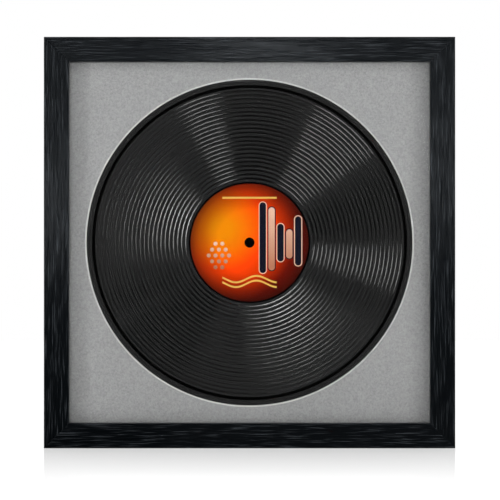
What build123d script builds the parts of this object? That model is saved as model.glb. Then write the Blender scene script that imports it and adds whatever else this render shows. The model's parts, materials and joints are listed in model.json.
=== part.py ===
"""A picture frame that shows a 12-inch record behind a round-windowed mount board.

Millimetres. The frame stands on the underside of its bottom rail, at Z = 0, and its front
faces -Y. X = 0 is its middle, and Y = 0 is half-way through the depth of its rails.
The layers in the rebate are named and placed from the front to the back.
"""

import os
from math import asin, degrees, sqrt

from build123d import *

# Record
RECORD_DIAMETER = 302.0
RECORD_THICKNESS = 2.6
PLAYING_THICKNESS = 1.8
SPINDLE_HOLE_DIAMETER = 9.3
LABEL_DIAMETER = 107.8
LABEL_THICKNESS = 0.3
LABEL_PLAY = 0.1
LABEL_LAND_WIDTH = 1.5
RUN_OUT_WIDTH = 3.4
RIDGE_PITCH = 3.81
RIDGE_WIDTH = 1.5
RIDGE_HEIGHT = 0.3
LEAD_IN_WIDTH = 1.5
RIM_GROOVE_WIDTH = 2.7
RIM_GROOVE_DEPTH = 0.7
RIM_WIDTH = 6.95

# Layers in the rebate
GLAZING_THICKNESS = 2.0
MOUNT_THICKNESS = 1.4
RECORD_SIDE_PLAY = 0.4
RECORD_BACK_PLAY = 0.4
CARD_THICKNESS = 1.4
FILLER_THICKNESS = 3.0
PANEL_THICKNESS = 3.0
LAYER_PLAY = 0.8
PANEL_RECESS = 0.3

# Mount board: how far it covers the record's rim, and its border round the window
RIM_COVER = 2.0
BORDER_X = 14.0
BORDER_Z = 14.0

# Rails
RAIL_FACE_WIDTH = 22.7
LIP_THICKNESS = 8.0
REBATE_WIDTH = 6.5
FRONT_EDGE_RADIUS = 0.8
BACK_EDGE_CHAMFER = 0.4

# V-nails across the mitres
NAIL_LEG = 5.0
NAIL_THICKNESS = 0.5
NAIL_DEPTH = 10.0

# Screws
SCREW_SHANK_DIAMETER = 3.0
SCREW_HEAD_DIAMETER = 6.0
SCREW_HEAD_RIM = 0.7
SCREW_HEAD_CROWN = 1.1
SCREW_BITE = 12.0
SCREW_POINT = 3.0
CROSS_LENGTH = 3.2
CROSS_WIDTH = 0.7
CROSS_DEPTH = 0.9

# Turn buttons
BUTTON_HEEL_DIAMETER = 10.0
BUTTON_NOSE_DIAMETER = 7.0
BUTTON_REACH = 13.0
BUTTON_THICKNESS = 1.2
BUTTON_TURN_GAP = 0.1
BUTTON_BORE_CLEARANCE = 0.05
BUTTON_RIB_WIDTH = 2.0
BUTTON_RIB_HEIGHT = 0.6
BUTTON_RIB_MARGIN = 1.2
BUTTON_SPACING_X = 170.0
BUTTON_SPACING_Z = 120.0

# Hangers
STRAP_WIDTH = 10.0
STRAP_SHEET = 1.0
STRAP_HOLE_CLEARANCE = 0.2
STRAP_HEAD_GAP = 0.6
STRAP_HOLE_SPACING = 11.0
STRAP_RAMP = 4.5
STRAP_BUTTON_GAP = 4.5
RING_WIRE_DIAMETER = 2.2
RING_BORE_CLEARANCE = 0.05
RING_CORNER_RADIUS = 1.3
RING_SIDE_PLAY = 0.2
RING_ARM_LENGTH = 7.0
RING_REST_GAP = 0.4

# Bumpers
BUMPER_DIAMETER = 10.0
BUMPER_FACE_DIAMETER = 8.0
BUMPER_THICKNESS = 5.0
BUMPER_EDGE_RADIUS = 0.6

# The record's radii
RECORD_RADIUS = RECORD_DIAMETER / 2
HOLE_RADIUS = SPINDLE_HOLE_DIAMETER / 2
LABEL_SEAT_RADIUS = LABEL_DIAMETER / 2 + LABEL_PLAY
LABEL_LAND_RADIUS = LABEL_SEAT_RADIUS + LABEL_LAND_WIDTH
FIRST_RIDGE_RADIUS = LABEL_LAND_RADIUS + RUN_OUT_WIDTH
GROOVE_OUTER_RADIUS = RECORD_RADIUS - RIM_WIDTH
GROOVE_INNER_RADIUS = GROOVE_OUTER_RADIUS - RIM_GROOVE_WIDTH
RIDGED_WIDTH = GROOVE_INNER_RADIUS - LEAD_IN_WIDTH - FIRST_RIDGE_RADIUS
RIDGE_COUNT = int(RIDGED_WIDTH / RIDGE_PITCH) + 1

# The frame's outline, worked out from the record
WINDOW_BACK_RADIUS = RECORD_RADIUS - RIM_COVER
WINDOW_FRONT_RADIUS = WINDOW_BACK_RADIUS + MOUNT_THICKNESS
SIGHT_X = 2 * (WINDOW_FRONT_RADIUS + BORDER_X)
SIGHT_Z = 2 * (WINDOW_FRONT_RADIUS + BORDER_Z)
OUTER_X = SIGHT_X + 2 * RAIL_FACE_WIDTH
OUTER_Z = SIGHT_Z + 2 * RAIL_FACE_WIDTH
CENTRE_Z = OUTER_Z / 2
REBATE_X = SIGHT_X + 2 * REBATE_WIDTH
REBATE_Z = SIGHT_Z + 2 * REBATE_WIDTH
LAND_WIDTH = RAIL_FACE_WIDTH - REBATE_WIDTH
LAND_X = (OUTER_X - LAND_WIDTH) / 2

# Depths along Y, from the front to the back
CARRIER_THICKNESS = RECORD_THICKNESS + RECORD_BACK_PLAY
STACK = GLAZING_THICKNESS + MOUNT_THICKNESS + CARRIER_THICKNESS
STACK += CARD_THICKNESS + FILLER_THICKNESS + PANEL_THICKNESS
RAIL_DEPTH = LIP_THICKNESS + STACK + PANEL_RECESS
FRONT_Y = -RAIL_DEPTH / 2
BACK_Y = RAIL_DEPTH / 2
GLAZING_Y = FRONT_Y + LIP_THICKNESS
MOUNT_Y = GLAZING_Y + GLAZING_THICKNESS
CARRIER_Y = MOUNT_Y + MOUNT_THICKNESS
RECORD_Y = CARRIER_Y + RECORD_THICKNESS / 2
CARD_Y = CARRIER_Y + CARRIER_THICKNESS
FILLER_Y = CARD_Y + CARD_THICKNESS
PANEL_Y = FILLER_Y + FILLER_THICKNESS

# Turn buttons and hangers, worked out from their own sizes
BUTTON_TIP = BUTTON_REACH + BUTTON_NOSE_DIAMETER / 2
BUTTON_SEAT = BUTTON_TURN_GAP + BUTTON_THICKNESS + BUTTON_TURN_GAP
RING_BORE_RADIUS = RING_WIRE_DIAMETER / 2 + RING_BORE_CLEARANCE
LOOP_RADIUS = RING_BORE_RADIUS + STRAP_SHEET
RING_HALF_WIDTH = STRAP_WIDTH / 2 + RING_SIDE_PLAY + RING_CORNER_RADIUS
RING_REACH = RING_ARM_LENGTH + RING_HALF_WIDTH + RING_WIRE_DIAMETER / 2
STRAP_SEAT = 2 * STRAP_SHEET
STRAP_FIRST_HOLE = RING_REACH + STRAP_HEAD_GAP + SCREW_HEAD_DIAMETER / 2
STRAP_SECOND_HOLE = STRAP_FIRST_HOLE + STRAP_HOLE_SPACING
STRAP_LENGTH = STRAP_SECOND_HOLE + STRAP_WIDTH / 2
HANGER_Z = CENTRE_Z + BUTTON_SPACING_Z / 2 + BUTTON_TIP + STRAP_BUTTON_GAP + STRAP_LENGTH

UP = (0, 0, 1)
DOWN = (0, 0, -1)
RIGHT = (1, 0, 0)
LEFT = (-1, 0, 0)
FORWARDS = (0, -1, 0)
BACKWARDS = (0, 1, 0)


def sketch_plane(y):
    """The upright plane at depth y, seen from the front, with its origin in the frame's middle."""
    return Plane(origin=(0, y, CENTRE_Z), x_dir=RIGHT, z_dir=FORWARDS)


def board(y, thickness):
    """A board in the rebate: it stands on the bottom rail and has play on its other three sides."""
    outline = Rectangle(REBATE_X - 2 * LAYER_PLAY, REBATE_Z - LAYER_PLAY)
    return extrude(sketch_plane(y) * Pos(0, -LAYER_PLAY / 2) * outline, -thickness)


def facing_front(part, y):
    """A part made round the Z axis, turned so that its top looks to the front, at depth y."""
    return Pos(0, y, CENTRE_Z) * Rot(90, 0, 0) * part


def on_back(x, z, heading):
    """A place on the rails' back face, with local X along the heading and local Z out of the face."""
    return Plane(origin=(x, BACK_Y, z), x_dir=heading, z_dir=BACKWARDS).location


def rail(length, distance, angle):
    """A rebated rail with mitred ends, its outer face at a distance from the frame's middle."""
    section = Polygon(
        (FRONT_Y, 0),
        (BACK_Y, 0),
        (BACK_Y, LAND_WIDTH),
        (GLAZING_Y, LAND_WIDTH),
        (GLAZING_Y, RAIL_FACE_WIDTH),
        (FRONT_Y, RAIL_FACE_WIDTH),
        align=None,
    )
    section = fillet(section.vertices().group_by(Axis.X)[0], FRONT_EDGE_RADIUS)
    section = chamfer(section.vertices().group_by(Axis.X)[-1], BACK_EDGE_CHAMFER)
    bar = extrude(Plane.YZ * section, length / 2, both=True)
    half = length / 2
    short = half - RAIL_FACE_WIDTH
    mitres = Polygon(
        (-half, 0),
        (half, 0),
        (short, RAIL_FACE_WIDTH),
        (-short, RAIL_FACE_WIDTH),
        align=None,
    )
    bar &= extrude(Plane.XZ * mitres, RAIL_DEPTH, both=True)
    return Pos(0, 0, CENTRE_Z) * Rot(0, angle, 0) * Pos(0, 0, -distance) * bar


def corner_nails():
    """Two V-nails across each mitre, driven in from the back with even gaps along the mitre."""
    gap = (LAND_WIDTH - 2 * NAIL_LEG) / 3
    nails = []
    for side_x in (-1, 1):
        for side_z in (-1, 1):
            for inset in (gap, 2 * gap + NAIL_LEG):
                corner_x = side_x * (OUTER_X / 2 - inset)
                corner_z = side_z * (OUTER_Z / 2 - inset)
                leg_x = side_x * NAIL_LEG
                leg_z = side_z * NAIL_LEG
                wall_x = side_x * NAIL_THICKNESS
                wall_z = side_z * NAIL_THICKNESS
                outline = Polygon(
                    (corner_x, corner_z),
                    (corner_x - leg_x, corner_z),
                    (corner_x - leg_x, corner_z - wall_z),
                    (corner_x - wall_x, corner_z - wall_z),
                    (corner_x - wall_x, corner_z - leg_z),
                    (corner_x, corner_z - leg_z),
                    align=None,
                )
                nails.append(extrude(sketch_plane(BACK_Y) * outline, NAIL_DEPTH, dir=FORWARDS))
    return nails


def mount_board():
    """The mount board, with a bevelled window that narrows towards the record."""
    window = Cone(WINDOW_BACK_RADIUS, WINDOW_FRONT_RADIUS, MOUNT_THICKNESS)
    return board(MOUNT_Y, MOUNT_THICKNESS) - facing_front(window, MOUNT_Y + MOUNT_THICKNESS / 2)


def record_carrier():
    """The board behind the mount, with a round cut-out that the record lies in."""
    cut_out = Cylinder(RECORD_RADIUS + RECORD_SIDE_PLAY, CARRIER_THICKNESS)
    carrier = board(CARRIER_Y, CARRIER_THICKNESS)
    return carrier - facing_front(cut_out, CARRIER_Y + CARRIER_THICKNESS / 2)


def record_side(side):
    """One side of the record's section, from the spindle hole to the rim. Side is 1 or -1."""
    land = side * RECORD_THICKNESS / 2
    seat = side * (RECORD_THICKNESS / 2 - LABEL_THICKNESS)
    playing = side * PLAYING_THICKNESS / 2
    floor = side * (RECORD_THICKNESS / 2 - RIM_GROOVE_DEPTH)
    crest = playing + side * RIDGE_HEIGHT
    points = [
        (HOLE_RADIUS, seat),
        (LABEL_SEAT_RADIUS, seat),
        (LABEL_SEAT_RADIUS, land),
        (LABEL_LAND_RADIUS, land),
        (LABEL_LAND_RADIUS, playing),
    ]
    line = Curve() + Polyline(*points)
    start = points[-1]
    for number in range(RIDGE_COUNT):
        middle = FIRST_RIDGE_RADIUS + number * RIDGE_PITCH
        near = (middle - RIDGE_WIDTH / 2, playing)
        far = (middle + RIDGE_WIDTH / 2, playing)
        line += Line(start, near)
        line += ThreePointArc(near, (middle, crest), far)
        start = far
    return line + Polyline(
        start,
        (GROOVE_INNER_RADIUS, playing),
        (GROOVE_INNER_RADIUS, floor),
        (GROOVE_OUTER_RADIUS, floor),
        (GROOVE_OUTER_RADIUS, land),
        (RECORD_RADIUS - RECORD_THICKNESS / 2, land),
    )


def record_disc():
    """The record: a label land, concentric ridges, a groove inside the rim and a rounded edge."""
    land = RECORD_THICKNESS / 2
    seat = land - LABEL_THICKNESS
    outline = record_side(1) + record_side(-1)
    outline += Line((HOLE_RADIUS, -seat), (HOLE_RADIUS, seat))
    edge = RECORD_RADIUS - land
    outline += ThreePointArc((edge, -land), (RECORD_RADIUS, 0), (edge, land))
    section = make_face(outline.edges())
    return facing_front(revolve(Plane.XZ * section, Axis.Z), RECORD_Y)


def label(side):
    """A round paper label in its seat. Side is 1 for the front and -1 for the back."""
    sheet = Cylinder(LABEL_DIAMETER / 2, LABEL_THICKNESS) - Cylinder(HOLE_RADIUS, LABEL_THICKNESS)
    height = side * (RECORD_THICKNESS - LABEL_THICKNESS) / 2
    return facing_front(Pos(0, 0, height) * sheet, RECORD_Y)


def pan_head_screw(seat):
    """A cross-head screw whose head sits at a height above the rail's back face."""
    top = seat + SCREW_HEAD_RIM + SCREW_HEAD_CROWN
    rim = (SCREW_HEAD_DIAMETER / 2, seat + SCREW_HEAD_RIM)
    outline = Curve() + Polyline((0, top), (0, seat), (SCREW_HEAD_DIAMETER / 2, seat), rim)
    outline += TangentArc((0, top), rim, tangent=(1, 0))
    head = revolve(Plane.XZ * make_face(outline.edges()), Axis.Z)
    for length, width in ((CROSS_LENGTH, CROSS_WIDTH), (CROSS_WIDTH, CROSS_LENGTH)):
        slot = Box(length, width, 2 * CROSS_DEPTH)
        head -= Pos(0, 0, top) * slot
    shoulder = SCREW_POINT - SCREW_BITE
    shank = Cylinder(
        SCREW_SHANK_DIAMETER / 2,
        seat - shoulder,
        align=(Align.CENTER, Align.CENTER, Align.MIN),
    )
    point = Cone(
        0,
        SCREW_SHANK_DIAMETER / 2,
        SCREW_POINT,
        align=(Align.CENTER, Align.CENTER, Align.MIN),
    )
    return head + Pos(0, 0, shoulder) * shank + Pos(0, 0, -SCREW_BITE) * point


def turn_button():
    """A flat steel turn button: a round heel with the screw hole, and a narrower ribbed nose."""
    heel = Circle(BUTTON_HEEL_DIAMETER / 2)
    nose = Pos(BUTTON_REACH, 0) * Circle(BUTTON_NOSE_DIAMETER / 2)
    plate = extrude(make_hull(heel.edges() + nose.edges()), BUTTON_THICKNESS)
    rib_start = SCREW_HEAD_DIAMETER / 2 + BUTTON_RIB_MARGIN
    rib_end = BUTTON_TIP - BUTTON_RIB_MARGIN
    rib_height = BUTTON_THICKNESS + BUTTON_RIB_HEIGHT
    rib = extrude(SlotOverall(rib_end - rib_start, BUTTON_RIB_WIDTH), rib_height)
    rib = fillet(rib.edges().group_by(Axis.Z)[-1], BUTTON_RIB_HEIGHT / 2)
    bore = Cylinder(SCREW_SHANK_DIAMETER / 2 + BUTTON_BORE_CLEARANCE, 2 * BUTTON_THICKNESS)
    button = plate + Pos((rib_start + rib_end) / 2, 0) * rib - bore
    return Pos(0, 0, BUTTON_TURN_GAP) * button


def button_places():
    """The name of each turn button, with its screw's X and Z and the way its nose points."""
    places = []
    for name, side in (("left", -1), ("right", 1)):
        x = side * BUTTON_SPACING_X / 2
        places.append((f"turn_button_top_{name}", x, OUTER_Z - LAND_WIDTH / 2, DOWN))
        places.append((f"turn_button_bottom_{name}", x, LAND_WIDTH / 2, UP))
    for name, side in (("lower", -1), ("upper", 1)):
        z = CENTRE_Z + side * BUTTON_SPACING_Z / 2
        places.append((f"turn_button_left_{name}", -LAND_X, z, RIGHT))
        places.append((f"turn_button_right_{name}", LAND_X, z, LEFT))
    return places


def hanger_strap():
    """A strap folded round the ring's bar, with its loop at the origin and its tail along -X."""
    ramp = Pos(-STRAP_RAMP / 2, STRAP_SHEET) * Rectangle(STRAP_RAMP, 2 * STRAP_SHEET)
    loop = Pos(0, LOOP_RADIUS) * Circle(LOOP_RADIUS)
    tail = Pos(-STRAP_LENGTH / 2, STRAP_SHEET) * Rectangle(STRAP_LENGTH, 2 * STRAP_SHEET)
    side_view = make_hull(ramp.edges() + loop.edges()) + tail
    side_view -= Pos(0, LOOP_RADIUS) * Circle(RING_BORE_RADIUS)
    strap = extrude(Plane.XZ * side_view, STRAP_WIDTH / 2, both=True)
    end = Pos(STRAP_WIDTH / 2 - STRAP_LENGTH, 0) * Circle(STRAP_WIDTH / 2)
    head = Pos(LOOP_RADIUS / 2, 0) * Rectangle(LOOP_RADIUS, STRAP_WIDTH)
    plan = make_hull(end.edges() + head.edges())
    strap &= extrude(plan, 2 * LOOP_RADIUS)
    for distance in (STRAP_FIRST_HOLE, STRAP_SECOND_HOLE):
        hole = Cylinder(SCREW_SHANK_DIAMETER / 2 + STRAP_HOLE_CLEARANCE, 2 * LOOP_RADIUS)
        strap -= Pos(-distance, 0, LOOP_RADIUS) * hole
    return strap


def hanger_ring():
    """A D-shaped ring whose bar lies in the strap's loop. It hangs along -X, clear of the strap."""
    half = RING_HALF_WIDTH
    flat = half - RING_CORNER_RADIUS
    foot = -RING_CORNER_RADIUS
    diagonal = RING_CORNER_RADIUS / sqrt(2)
    path = Curve() + Line((0, -flat), (0, flat))
    for side in (-1, 1):
        corner = (foot + diagonal, side * (flat + diagonal))
        path += ThreePointArc((0, side * flat), corner, (foot, side * half))
        path += Line((foot, side * half), (-RING_ARM_LENGTH, side * half))
    bow_end = -RING_ARM_LENGTH - half
    path += ThreePointArc((-RING_ARM_LENGTH, -half), (bow_end, 0), (-RING_ARM_LENGTH, half))
    ring = sweep(Plane.XZ * Circle(RING_WIRE_DIAMETER / 2), path.wire())
    strap_edge = RING_ARM_LENGTH + sqrt(half**2 - (STRAP_WIDTH / 2) ** 2)
    lift = STRAP_SEAT + RING_WIRE_DIAMETER / 2 + RING_REST_GAP - LOOP_RADIUS
    tilt = degrees(asin(lift / strap_edge))
    return Pos(0, 0, LOOP_RADIUS) * Rot(0, tilt, 0) * ring


def bumper():
    """A round rubber pad that tapers to its face."""
    pad = Cone(
        BUMPER_DIAMETER / 2,
        BUMPER_FACE_DIAMETER / 2,
        BUMPER_THICKNESS,
        align=(Align.CENTER, Align.CENTER, Align.MIN),
    )
    return fillet(pad.edges().group_by(Axis.Z)[-1], BUMPER_EDGE_RADIUS)


def make_parts():
    """Every piece of the frame, by the name of its node."""
    parts = {
        "glazing_sheet": board(GLAZING_Y, GLAZING_THICKNESS),
        "mount_board": mount_board(),
        "record_disc": record_disc(),
        "label_front": label(1),
        "label_back": label(-1),
        "record_carrier": record_carrier(),
        "backing_card": board(CARD_Y, CARD_THICKNESS),
        "filler_board": board(FILLER_Y, FILLER_THICKNESS),
        "back_panel": board(PANEL_Y, PANEL_THICKNESS),
    }
    button_screws = []
    for name, x, z, inwards in button_places():
        parts[name] = on_back(x, z, inwards) * turn_button()
        button_screws.append(on_back(x, z, inwards) * pan_head_screw(BUTTON_SEAT))
    hanger_screws = []
    for name, side in (("left", -1), ("right", 1)):
        place = on_back(side * LAND_X, HANGER_Z, UP)
        parts[f"hanger_strap_{name}"] = place * hanger_strap()
        parts[f"hanger_ring_{name}"] = place * hanger_ring()
        parts[f"bumper_{name}"] = on_back(side * LAND_X, LAND_WIDTH / 2, UP) * bumper()
        for distance in (STRAP_FIRST_HOLE, STRAP_SECOND_HOLE):
            hanger_screws.append(place * Pos(-distance, 0, 0) * pan_head_screw(STRAP_SEAT))
    nails = corner_nails()
    parts["turn_button_screws"] = Compound(children=button_screws)
    parts["hanger_screws"] = Compound(children=hanger_screws)
    parts["corner_v_nails"] = Compound(children=nails)
    rails = {
        "rail_bottom": rail(OUTER_X, OUTER_Z / 2, 0),
        "rail_left": rail(OUTER_Z, OUTER_X / 2, 90),
        "rail_top": rail(OUTER_X, OUTER_Z / 2, 180),
        "rail_right": rail(OUTER_Z, OUTER_X / 2, 270),
    }
    for name, bar in rails.items():
        parts[name] = bar - [*button_screws, *hanger_screws, *nails]
    return parts


os.makedirs("parts", exist_ok=True)
for node, shape in make_parts().items():
    export_step(shape, f"parts/{node}.step")
print("ridges", RIDGE_COUNT, "outer", OUTER_X, OUTER_Z, "depth", RAIL_DEPTH)
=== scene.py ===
"""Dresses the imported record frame: wood rails, mount board, record, labels, boards and hardware.

Metres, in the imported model's own frame: the picture stands on Z = 0 and faces -Y, and X = 0 is
its middle. Each operator makes one piece, or one group of like pieces, and places it by the
boxes of the nodes that it stands for.
"""

import json
from functools import partial
from math import cos, pi, radians, sin, sqrt

import bpy
import numpy as np
from bpy.props import FloatProperty, FloatVectorProperty, PointerProperty
from mathutils import Matrix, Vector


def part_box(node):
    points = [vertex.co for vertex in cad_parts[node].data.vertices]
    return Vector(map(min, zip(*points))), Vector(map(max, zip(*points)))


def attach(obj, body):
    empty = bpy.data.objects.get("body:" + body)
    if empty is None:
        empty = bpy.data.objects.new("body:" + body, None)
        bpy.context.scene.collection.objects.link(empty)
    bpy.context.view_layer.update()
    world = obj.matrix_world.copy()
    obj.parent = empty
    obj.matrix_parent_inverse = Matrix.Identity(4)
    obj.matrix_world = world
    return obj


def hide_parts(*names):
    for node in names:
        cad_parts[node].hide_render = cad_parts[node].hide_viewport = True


bl_info = {
    "name": "Record frame pieces",
    "version": (1, 0, 0),
    "blender": (4, 5, 0),
    "location": "3D View > Sidebar > Record frame",
    "description": "Makes the finished pieces of a frame that shows a 12-inch record",
    "category": "Add Mesh",
}

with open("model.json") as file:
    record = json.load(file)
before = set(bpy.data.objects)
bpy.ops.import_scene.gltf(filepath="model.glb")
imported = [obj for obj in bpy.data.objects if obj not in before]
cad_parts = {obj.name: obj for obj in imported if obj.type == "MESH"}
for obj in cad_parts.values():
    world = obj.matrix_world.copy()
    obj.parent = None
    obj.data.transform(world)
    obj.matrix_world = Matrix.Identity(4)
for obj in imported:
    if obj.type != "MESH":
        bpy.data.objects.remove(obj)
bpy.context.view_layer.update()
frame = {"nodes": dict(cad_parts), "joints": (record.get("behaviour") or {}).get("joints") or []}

MM = 0.001
RAIL_LOW, RAIL_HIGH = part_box("rail_top")
RECORD_LOW, RECORD_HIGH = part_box("record_disc")

HALF_OUTER = RAIL_HIGH.x
FACE_WIDTH = RAIL_HIGH.z - RAIL_LOW.z
CENTRE_Z = HALF_OUTER
FRONT_Y = RAIL_LOW.y
BACK_Y = RAIL_HIGH.y
GLAZING_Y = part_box("glazing_sheet")[0].y
LAYER_PLAY = 0.8 * MM
LAND_WIDTH = HALF_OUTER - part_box("back_panel")[1].x - LAYER_PLAY
RECORD_RADIUS = RECORD_HIGH.x
LABEL_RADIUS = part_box("label_front")[1].x

HOLE_RADIUS = 4.65 * MM
LABEL_SEAT_RADIUS = 54.0 * MM
LABEL_LAND_RADIUS = 55.5 * MM
FIRST_RIDGE_RADIUS = 58.9 * MM
RIDGE_PITCH = 3.81 * MM
RIDGE_COUNT = 22
GROOVE_INNER_RADIUS = 141.35 * MM
GROOVE_OUTER_RADIUS = 144.05 * MM
PLAYING_DROP = 0.4 * MM
LABEL_DROP = 0.3 * MM
GROOVE_DROP = 0.7 * MM
WINDOW_BACK_RADIUS = 149.0 * MM
WINDOW_FRONT_RADIUS = 150.4 * MM

BUTTON_NAMES = sorted(
    name for name in frame["nodes"] if name.startswith("turn_button_") and name != "turn_button_screws"
)

# Dark panels in the room, which leave the plain sectors of the record dark: clock direction of the middle,
# half spread in degrees, and the two Y parts of a direction between which a panel stands.
DARK_PANELS = (
    (4, 22, -0.975, -0.42),
    (40, 18, -0.824, -0.768),
    (76, 18, -0.88, -0.835),
    (76, 18, -0.79, -0.42),
    (256, 16, -0.83, -0.74),
)

# Lamps that face the record, all at one distance from its middle: degrees off the line of sight, clock
# direction, depth, sweep and radiance, as a share of the lamps' brightness.
SOFTBOX_DISTANCE = 1.6
SOFTBOXES = {
    "upper_right_softbox": (48, 40, 0.35, 0.62, 0.24),
    "upper_right_core_softbox": (48, 40, 0.35, 0.30, 0.16),
    "far_left_softbox": (66, 265, 0.6, 0.8, 1.5),
    "far_right_softbox": (66, 95, 0.6, 0.8, 1.25),
}

# Lamps close to the top rail and the side rails, as above with their distance before the depth.
RAIL_LIGHTS = {
    "top_rail_light": (35.2, 3, 0.3672, 0.03, 0.13, 1.2),
    "left_rail_light": (35.5, 280, 0.3686, 0.03, 0.12, 1.0),
    "right_rail_light": (35.5, 73, 0.3686, 0.03, 0.16, 0.5),
}

# Faint hooded lamps in front of those rails: X, height above the middle, width, height.
RAIL_WASHES = {
    "top_rail_wash": (0.0, 0.2110, 0.40, 0.03),
    "left_rail_wash": (-0.2107, 0.13, 0.03, 0.20),
    "right_rail_wash": (0.2107, 0.13, 0.03, 0.20),
}
RAIL_WASH_SHARE = 0.036

WHITE = (1.0, 1.0, 1.0, 1.0)


# Settings


def colour_setting(name, description, *colour):
    """A colour of full alpha."""
    return FloatVectorProperty(
        name=name, description=description, subtype="COLOR", size=4, min=0.0, max=1.0, default=(*colour, 1.0)
    )


def length_setting(name, description, default):
    """A length in metres."""
    return FloatProperty(name=name, description=description, unit="LENGTH", default=default)


def share_setting(name, description, default):
    """A number from 0 to 1."""
    return FloatProperty(name=name, description=description, min=0.0, max=1.0, default=default)


class RailSettings(bpy.types.PropertyGroup):
    """The look of the four black rails."""

    colour: colour_setting("Stain", "Colour of the black stain", 0.0006, 0.0012, 0.0018)
    grain_colour: colour_setting("Grain", "Colour of the grain that shows through", 0.0250, 0.0285, 0.0320)
    roughness: share_setting("Roughness", "Roughness of the stained face", 0.30)
    pore_depth: length_setting("Pore depth", "How deep the open pores are", 0.11 * MM)
    pore_length: length_setting("Pore length", "Usual length of a pore along the rail", 17 * MM)
    pore_width: length_setting("Pore width", "Usual width of a pore across the rail", 1.1 * MM)
    edge_radius: length_setting("Edge radius", "Radius of the outer front edge", 0.8 * MM)


class MountSettings(bpy.types.PropertyGroup):
    """The look of the mount board."""

    face_colour: colour_setting("Face paper", "Colour of the grey face paper", 0.342, 0.342, 0.342)
    core_colour: colour_setting("Core", "Colour of the core that the bevel shows", 0.68, 0.68, 0.67)


class RecordSettings(bpy.types.PropertyGroup):
    """The look of the record."""

    base_colour: colour_setting("Base", "Colour of the bands between the ridges", 0.0138, 0.0138, 0.0138)
    # The ridges' colour, much darker than the bands', is partly smooth vinyl's own blackness and partly
    # painted shade that draws dark lines along the ridges.
    ridge_colour: colour_setting("Ridge", "Colour of the smooth ridges", 0.0016, 0.0016, 0.0016)
    roughness: share_setting("Roughness", "Roughness of the vinyl", 0.08)


class LabelSettings(bpy.types.PropertyGroup):
    """The inks of the printed label."""

    amber: colour_setting("Amber", "Middle of the glow", 0.86, 0.27, 0.0)
    ember: colour_setting("Ember", "Ring of the glow", 0.98, 0.058, 0.0)
    maroon: colour_setting("Maroon", "Far side of the glow", 0.20, 0.004, 0.0)
    cream: colour_setting("Cream", "Pale ink of the motif", 0.80, 0.50, 0.36)
    navy: colour_setting("Navy", "Dark ink of the motif", 0.006, 0.007, 0.016)
    gold: colour_setting("Gold", "Fine lines of the motif", 0.80, 0.50, 0.10)


class HardwareSettings(bpy.types.PropertyGroup):
    """The look of the metal and rubber at the back."""

    nickel: colour_setting("Nickel", "Colour of the plating", 0.44, 0.42, 0.385)
    zinc: colour_setting("Zinc", "Colour of the screws", 0.40, 0.42, 0.45)
    steel: colour_setting("Steel", "Colour of the V-nails", 0.42, 0.42, 0.43)
    rubber: colour_setting("Rubber", "Colour of the pads", 0.012, 0.012, 0.013)


class BoardSettings(bpy.types.PropertyGroup):
    """The look of the boards behind the record."""

    fibreboard: colour_setting("Fibreboard", "Colour of the back", 0.27, 0.155, 0.078)
    card: colour_setting("Card", "Colour of the backing card", 0.0018, 0.0018, 0.0018)
    carrier: colour_setting("Carrier", "Colour of the carrier board", 0.78, 0.77, 0.74)


class StageSettings(bpy.types.PropertyGroup):
    """The camera, the lamps, the floor and the room."""

    camera_distance: length_setting("Camera distance", "From the rails' face", 1.894)
    camera_height: length_setting("Camera height", "Above the floor", 0.1803)
    lamp_strength: FloatProperty(name="Lamps", description="Brightness of the lamps' faces", default=12.0)
    room_front: FloatProperty(name="Room in front", description="Light from behind the camera", default=0.21)
    room_back: FloatProperty(name="Room around", description="Light from the room's pale walls", default=1.50)


# Meshes


def grid_faces(rows, columns, wrap_rows=False, wrap_columns=False):
    """Faces of a grid numbered row by row: point, next in its row, and the two in the next row."""
    row = np.arange(rows if wrap_rows else rows - 1)
    column = np.arange(columns if wrap_columns else columns - 1)
    row, column = np.meshgrid(row, column, indexing="ij")
    next_row = (row + 1) % rows
    next_column = (column + 1) % columns
    corners = (
        row * columns + column,
        row * columns + next_column,
        next_row * columns + next_column,
        next_row * columns + column,
    )
    return np.stack(corners, -1).reshape(-1, 4)


def capped_faces(rows, columns):
    """Faces of a grid whose columns wrap, with a flat face that closes each end."""
    first = list(range(columns))[::-1]
    last = list(range((rows - 1) * columns, rows * columns))
    return grid_faces(rows, columns, False, True).tolist() + [first, last]


def merge(parts):
    """One list of points and one of faces from several closed shells, numbered one after another."""
    points = np.concatenate([shell[0] for shell in parts])
    faces = []
    first = 0
    for shell_points, shell_faces in parts:
        faces += [[first + number for number in face] for face in shell_faces]
        first += len(shell_points)
    return points, faces


def new_object(name, data):
    """An object with its data, in the scene."""
    made = bpy.data.objects.new(name, data)
    bpy.context.scene.collection.objects.link(made)
    return made


def add_piece(name, points, faces, materials, finishes=None, crease=30.0):
    """Makes a smooth closed piece at the origin. A shell whose signed volume is negative is turned."""
    points = np.asarray(points, float).reshape(-1, 3)
    mesh = bpy.data.meshes.new(name)
    mesh.from_pydata(points.tolist(), [], [list(map(int, face)) for face in faces])
    for material in materials:
        mesh.materials.append(material)
    if finishes is not None:
        mesh.polygons.foreach_set("material_index", np.asarray(finishes, np.int32))
    mesh.calc_loop_triangles()
    corners = np.empty(len(mesh.loop_triangles) * 3, np.int32)
    mesh.loop_triangles.foreach_get("vertices", corners)
    a, b, c = (points - points.mean(0))[corners.reshape(-1, 3)].transpose(1, 0, 2)
    if np.einsum("ij,ij->i", a, np.cross(b, c)).sum() < 0:
        mesh.flip_normals()
    mesh.shade_smooth()
    mesh.set_sharp_from_angle(angle=radians(crease))
    mesh.update()
    return new_object(name, mesh)


def smooth_step(value, low, high):
    """0 below low, 1 above high, and 3t2 - 2t3 between them."""
    place = np.clip((value - low) / (high - low), 0, 1)
    return place * place * (3 - 2 * place)


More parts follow.
